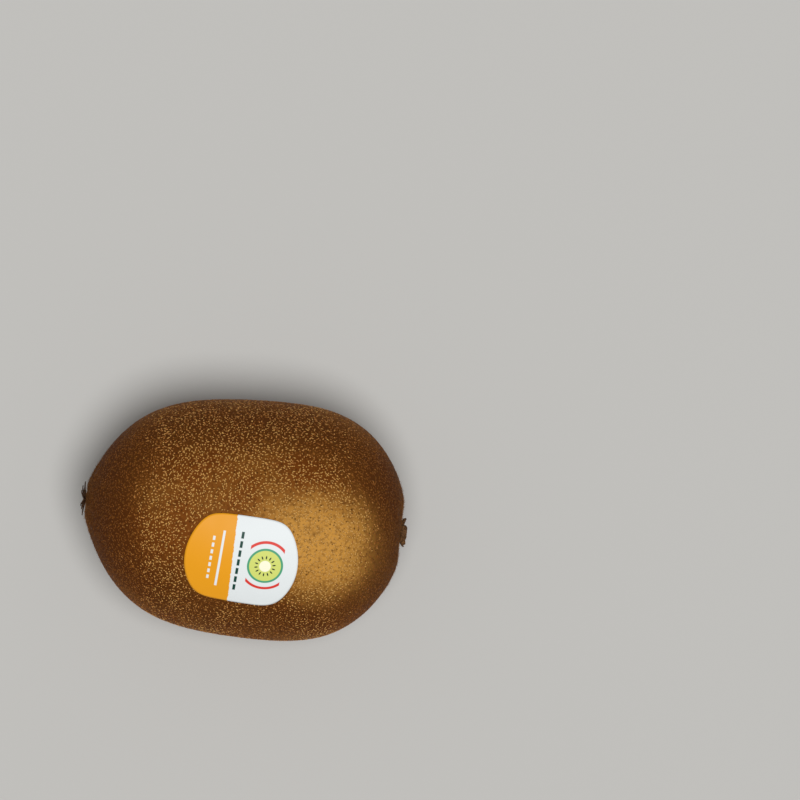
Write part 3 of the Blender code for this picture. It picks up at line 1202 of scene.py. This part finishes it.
@dataclass
class Down:
    """Short stiff hairs, which this smooth kind of fruit has only towards its two ends."""

    form: FruitForm
    rind: Rind
    finish: PlainFinish = PlainFinish("down", srgb(128, 84, 44))
    seed: int = 31
    doublings: int = 13
    sides: int = 3
    length: Pair = (0.30 * MM, 0.85 * MM)
    radius: float = 0.028 * MM
    taper: float = 0.2
    root: float = 0.05
    nearest: float = 2.2 * MM
    spread: float = 6.0 * MM
    farthest: float = 17.0 * MM
    end_width: float = 1.35
    stem_share: float = 0.55
    turn_spread: float = 0.8
    rise: Pair = (0.15, 0.75)

    def spot(self, draw: random.Random) -> Pair:
        """Choose a place near one of the ends.

        Args:
            draw: The source of random numbers.

        Returns:
            Its polar angle and azimuth.
        """
        distance = self.farthest
        while distance >= self.farthest:
            distance = self.nearest + abs(draw.gauss(0, self.spread))
        from_end = math.asin(distance / (self.form.width / 2 * self.end_width))
        end = End.STEM if draw.random() < self.stem_share else End.BLOSSOM
        return end.polar(from_end), draw.uniform(-math.pi, math.pi)

    def stand(self, draw: random.Random) -> Matrix:
        """Place, turn and size one hair, which leans away from its end of the fruit.

        Args:
            draw: The source of random numbers.

        Returns:
            What takes an upright hair of length 1 there.
        """
        polar, azimuth = self.spot(draw)
        normal = self.form.outward(polar, azimuth)
        step = self.form.raw_point(polar + SMALL_TURN, azimuth) - self.form.raw_point(polar, azimuth)
        away = step.normalized() if polar < math.pi / 2 else -step.normalized()
        side = normal.cross(away)
        turn = draw.gauss(0, self.turn_spread)
        rise = draw.uniform(*self.rise)
        flat = away * math.cos(turn) + side * math.sin(turn)
        along = flat * math.cos(rise) + normal * math.sin(rise)
        across = normal.cross(along).normalized()
        size = draw.uniform(*self.length)
        axes = Matrix([across * self.radius, along.cross(across) * self.radius, along * size]).transposed()
        return Matrix.Translation(self.rind.surface(polar, azimuth)) @ axes.to_4x4()

    def build(self) -> list[bpy.types.Object]:
        """Make all the hairs.

        Returns:
            One object with all of them.
        """
        draw = random.Random(self.seed)
        shape = bmesh.new()
        bmesh.ops.create_cone(
            shape,
            cap_ends=True,
            cap_tris=True,
            segments=self.sides,
            radius1=1,
            radius2=self.taper,
            depth=1,
            matrix=Matrix.Translation((0, 0, 0.5 - self.root)),
        )
        for block in Piece.copies(shape, self.doublings):
            stand = self.stand(draw)
            for vertex in block:
                vertex.co = stand @ vertex.co
        made = Piece.smooth_object(shape, "down", self.finish.material())
        return [Piece.placed(made, "kiwi_skin")]


@dataclass
class Calyx:
    """The dried sepals and the woody stub of the stalk at the stem end."""

    form: FruitForm
    finish: DriedFinish = DriedFinish("dried_calyx", srgb(128, 90, 54), srgb(48, 29, 15))
    seed: int = 7
    sepals: int = 5
    unevenness: float = 0.18
    root: float = 1.2 * MM
    reach: float = 4.7 * MM
    spread: Pair = (0.66, 1.06)
    half_width: float = 1.95 * MM
    steps: tuple[int, int] = (24, 20)
    side_ease: float = 0.10
    tear: float = 0.16
    swirl: float = 0.14
    curl: float = 1.1 * MM
    curls: Pair = (0.1, 1.0)
    cup: float = 0.26 * MM
    overlap: float = 0.16 * MM
    ripple: float = 0.40 * MM
    hover: float = 0.26 * MM
    thickness: float = 0.11 * MM
    stub_radius: float = 1.75 * MM
    stub_height: float = 2.35 * MM
    stub_sink: float = 0.1 * MM
    stub_segments: int = 64
    stub_rings: int = 36
    stub_flare: float = 0.22
    # The depth, the count and the turn of each set of ribs.
    stub_ribs: tuple[tuple[float, int, float], ...] = ((0.05, 5, 1.0), (0.03, 13, 0.0))
    stub_grain: float = 0.16 * MM
    hollow_depth: float = 0.45 * MM
    hollow_radius: float = 0.95 * MM

    @staticmethod
    def breadth(share: float) -> float:
        """A sepal's half width as a share of the widest: broad, with a blunt tip at share 1."""
        return (0.80 + 0.40 * share) * (1 - share**3.6) ** 0.55 + 0.02

    def sepal(self, shape: bmesh.types.BMesh, middle: float, curl: float, reach: float) -> None:
        """Add one dried sepal that lies outwards from the stub.

        Args:
            shape: The mesh under construction.
            middle: The azimuth that it points in.
            curl: How strongly its tip curls up, from 0 to 1.
            reach: How far from the long axis it ends.
        """
        made = bmesh.ops.create_grid(shape, x_segments=self.steps[0], y_segments=self.steps[1], size=1)
        for vertex in made["verts"]:
            share = (vertex.co.x + 1) / 2
            side = vertex.co.y
            torn = noise.noise(Vector((side * 3.0, share * 1.5, middle * 5))) * self.tear
            distance = self.root + (reach - self.root) * share * (1 - self.side_ease * abs(side) + torn)
            aside = side * self.half_width * self.breadth(share) / distance
            azimuth = middle + aside + self.swirl * math.sin(3 * share + middle)
            ripple = noise.noise(Vector((share * 2.2, side * 1.6, middle * 3))) * self.ripple
            edges = self.cup * side**2 * (0.3 + share) + self.overlap * side * (1 - 0.5 * share)
            lift = self.hover + curl * self.curl * share**2.5 + edges + ripple
            vertex.co = self.form.end_point(distance, azimuth, lift, End.STEM)

    def leaves(self, material: bpy.types.Material) -> bpy.types.Object:
        """Make all the sepals.

        Args:
            material: What they wear.

        Returns:
            One object with all of them.
        """
        draw = random.Random(self.seed)
        shape = bmesh.new()
        for i in range(self.sepals):
            middle = 2 * math.pi * i / self.sepals + draw.uniform(-1, 1) * self.unevenness
            self.sepal(shape, middle, draw.uniform(*self.curls), self.reach * draw.uniform(*self.spread))
        made = Piece.smooth_object(shape, "sepals", material)
        made.modifiers.new("blade", "SOLIDIFY").thickness = self.thickness
        return made

    def stub(self, material: bpy.types.Material) -> bpy.types.Object:
        """Make the stub: a short woody post with a rough, hollowed top.

        Args:
            material: What it wears.

        Returns:
            The stub.
        """
        shape = bmesh.new()
        rings = {"u_segments": self.stub_segments, "v_segments": self.stub_rings}
        bmesh.ops.create_uvsphere(shape, radius=1, **rings)
        for vertex in shape.verts:
            azimuth = math.atan2(vertex.co.y, vertex.co.x)
            out = math.hypot(vertex.co.x, vertex.co.y)
            ribs = sum(depth * math.sin(count * azimuth + turn) for depth, count, turn in self.stub_ribs)
            flare = 1 + self.stub_flare * max(0.0, -vertex.co.z) + ribs
            distance = self.stub_radius * (1 - (1 - out) ** 0.62) * flare
            level = (math.copysign(abs(vertex.co.z) ** 0.35, vertex.co.z) + 1) / 2
            rough = noise.noise(vertex.co * 6.0) * self.stub_grain
            hollow = self.hollow_depth * self.form.bump(distance, self.hollow_radius)
            lift = (self.stub_height + rough) * level - self.stub_sink
            if vertex.co.z > 0:
                lift -= hollow
            vertex.co = self.form.end_point(distance, azimuth, lift, End.STEM)
        Piece.face_outwards(shape)
        return Piece.smooth_object(shape, "stalk_stub", material)

    def build(self) -> list[bpy.types.Object]:
        """Make the sepals and the stub, which stand for the calyx's solid.

        Returns:
            The sepals and the stub.
        """
        material = self.finish.material()
        leaves = Piece.placed(self.leaves(material), "dried_calyx")
        return [leaves, Piece.placed(self.stub(material), "dried_calyx", "stem_calyx")]


@dataclass
class Styles:
    """The tuft of dried styles in the pit at the blossom end."""

    form: FruitForm
    finish: DriedFinish = DriedFinish("dried_styles", srgb(92, 63, 40), srgb(32, 19, 12))
    seed: int = 5
    unevenness: float = 0.14
    # The count, the length and the rise in degrees of each ring of styles.
    rings: tuple[tuple[int, float, float], ...] = (
        (9, 3.4 * MM, 16.0),
        (6, 2.3 * MM, 46.0),
        (10, 2.3 * MM, 24.0),
        (7, 1.4 * MM, 62.0),
    )
    doublings: int = 5
    root_radius: float = 0.30 * MM
    tip_radius: float = 0.13 * MM
    sides: int = 8
    steps: int = 10
    bend: float = 0.55
    wobble: float = 0.35 * MM
    pinching: float = 0.22
    flatness: float = 0.8
    hub_radius: float = 1.3 * MM
    hub_height: float = 0.85 * MM
    hub_grain: float = 0.15 * MM
    hub_segments: int = 36
    hub_rings: int = 20
    root_height: float = 0.55
    root_distance: float = 0.35
    clearance: float = 0.3 * MM

    def draws(self) -> Iterator[tuple[float, float, float]]:
        """Draw the styles, ring by ring.

        Returns:
            The azimuth, the length and the rise off the rind of each style, one after another.
        """
        draw = random.Random(self.seed)
        for count, length, rise_degrees in self.rings:
            start = draw.uniform(0, math.pi)
            for i in range(count):
                azimuth = start + 2 * math.pi * i / count + draw.uniform(-1, 1) * self.unevenness
                size = length * (1 + draw.uniform(-1, 1) * self.unevenness)
                rise = math.radians(rise_degrees) * (1 + draw.uniform(-1, 1) * self.unevenness)
                yield azimuth, size, rise

    def straight_blade(self) -> bmesh.types.BMesh:
        """Make one upright style of length 1, cut into short steps.

        Returns:
            A mesh under construction that holds it.
        """
        shape = bmesh.new()
        bmesh.ops.create_cone(
            shape,
            cap_ends=True,
            segments=self.sides,
            radius1=self.root_radius,
            radius2=self.tip_radius,
            depth=1,
            matrix=Matrix.Translation((0, 0, 0.5)),
        )
        long_edges = [edge for edge in shape.edges if edge.calc_length() > 0.5]
        bmesh.ops.subdivide_edges(shape, edges=long_edges, cuts=self.steps - 1, use_grid_fill=True)
        return shape

    def bend_blade(self, block: list[bmesh.types.BMVert], draws: tuple[float, float, float]) -> None:
        """Put one style in its place, bent down towards its tip.

        Args:
            block: The style's vertices.
            draws: The azimuth that it points in, its length, and its rise off the rind at its root.
        """
        azimuth, length, rise = draws
        outward = Vector((0, math.sin(azimuth), math.cos(azimuth)))
        along = Vector((-1, 0, 0))
        sideways = along.cross(outward)
        lift = self.clearance + self.hub_height * self.root_height
        root = self.form.end_point(self.hub_radius * self.root_distance, azimuth, lift, End.BLOSSOM)
        for vertex in block:
            share = vertex.co.z
            slope = rise * (1 - self.bend * share)
            forward = outward * math.cos(slope) + along * math.sin(slope)
            upward = along * math.cos(slope) - outward * math.sin(slope)
            sway = noise.noise(Vector((share * 1.7, azimuth * 5, 3.0))) * self.wobble * share
            pinch = 1 + self.pinching * noise.noise(Vector((share * 5.0, azimuth * 7, 9.0)))
            aside = sideways * (vertex.co.x * pinch + sway)
            upright = upward * (vertex.co.y * pinch * self.flatness)
            vertex.co = root + forward * length * share + aside + upright

    def hub(self, shape: bmesh.types.BMesh) -> None:
        """Add the low rough button that the styles grow from.

        Args:
            shape: The mesh under construction.
        """
        rings = {"u_segments": self.hub_segments, "v_segments": self.hub_rings}
        made = bmesh.ops.create_uvsphere(shape, radius=1, **rings)
        for vertex in made["verts"]:
            distance = self.hub_radius * math.hypot(vertex.co.x, vertex.co.y)
            azimuth = math.atan2(vertex.co.y, vertex.co.x)
            rough = noise.noise(vertex.co * 4.0) * self.hub_grain
            lift = self.hub_height / 2 * (1 + vertex.co.z) + rough
            vertex.co = self.form.end_point(distance, azimuth, lift, End.BLOSSOM)

    def build(self) -> list[bpy.types.Object]:
        """Make the tuft, which stands for its solid.

        Returns:
            The tuft alone.
        """
        shape = self.straight_blade()
        for block, draws in zip(Piece.copies(shape, self.doublings), self.draws(), strict=True):
            self.bend_blade(block, draws)
        self.hub(shape)
        Piece.face_outwards(shape)
        made = Piece.smooth_object(shape, "dried_styles", self.finish.material())
        return [Piece.placed(made, "dried_styles", "style_tuft")]


@dataclass
class Studio:
    """Floor, lamp, sky and camera."""

    floor_colour: Colour = srgb(184, 183, 180)
    floor_roughness: float = 0.9
    floor_half: float = 10.0
    floor_squares: int = 80
    floor_level_radius: float = 1.5
    floor_rise: float = 1.2
    distance: float = 2.5
    frame_width: float = 0.175
    picture_pixels: float = 800.0
    fruit_pixel: Pair = (247.0, 517.5)
    roll: float = math.radians(6.2)
    middle_height: float = 0.025
    sensor_width: float = 36.0
    lamp_direction: tuple[float, float, float] = (0.10, -0.12, 1.0)
    lamp_spread: float = math.radians(28)
    lamp_strength: float = 2.85
    sky_colour: Colour = (1.0, 0.98, 0.95)
    sky_strength: float = 0.19

    def floor(self) -> None:
        """Lay the plain pale floor, which rises gently far away so that no horizon shows."""
        shape = bmesh.new()
        squares = {"x_segments": self.floor_squares, "y_segments": self.floor_squares}
        bmesh.ops.create_grid(shape, size=self.floor_half, **squares)
        for vertex in shape.verts:
            beyond = max(0.0, vertex.co.length - self.floor_level_radius)
            vertex.co.z = self.floor_rise * (beyond / (self.floor_half - self.floor_level_radius)) ** 2
        constant = {"Base Color": (*self.floor_colour, 1.0), "Roughness": self.floor_roughness}
        Piece.smooth_object(shape, "floor", Graph("floor").finish({}, constant))

    def lamp(self) -> None:
        """Hang the wide soft lamp overhead, far enough off to light the floor evenly."""
        data = bpy.data.lights.new("key", "SUN")
        data.angle = self.lamp_spread
        data.energy = self.lamp_strength
        made = bpy.data.objects.new("key", data)
        bpy.context.scene.collection.objects.link(made)
        way = Vector(self.lamp_direction).normalized()
        made.location = way
        made.rotation_mode = "QUATERNION"
        made.rotation_quaternion = way.to_track_quat("Z", "Y")

    def camera(self) -> None:
        """Set up a camera that looks straight down, with the fruit where the photograph has it."""
        metres = self.frame_width / self.picture_pixels
        half = self.picture_pixels / 2
        right = Vector((math.cos(self.roll), math.sin(self.roll), 0))
        up = Vector((-math.sin(self.roll), math.cos(self.roll), 0))
        place = right * (half - self.fruit_pixel[0]) * metres + up * (self.fruit_pixel[1] - half) * metres
        data = bpy.data.cameras.new("camera")
        data.sensor_width = self.sensor_width
        data.lens = self.sensor_width * self.distance / self.frame_width
        made = bpy.data.objects.new("camera", data)
        bpy.context.scene.collection.objects.link(made)
        made.location = place + Vector((0, 0, self.middle_height + self.distance))
        made.rotation_euler = (0, 0, self.roll)
        bpy.context.scene.camera = made

    def world(self) -> None:
        """Put a plain, even sky round it all."""
        world = bpy.data.worlds.new("world")
        world.use_nodes = True
        sky = world.node_tree.nodes["Background"]
        sky.inputs["Color"].default_value = (*self.sky_colour, 1.0)
        sky.inputs["Strength"].default_value = self.sky_strength
        bpy.context.scene.world = world

    def build(self) -> None:
        """Set up the whole studio."""
        self.floor()
        self.camera()
        self.world()
        self.lamp()
        bpy.context.scene.view_settings.view_transform = "Standard"


def main() -> None:
    """Build every piece in order and report it."""
    logging.basicConfig(level=logging.INFO, format="%(name)s: %(message)s")
    Studio().build()
    form = FruitForm()
    rind = Rind(form)
    label = PaperLabel(form)
    sub_assemblies = [rind, label, Specks(form, rind, label), Down(form, rind), Calyx(form), Styles(form)]
    for sub_assembly in sub_assemblies:
        for made in sub_assembly.build():
            LOG.info("%s: %d faces", made.name, len(made.data.polygons))


if __name__ == "__main__":
    main()
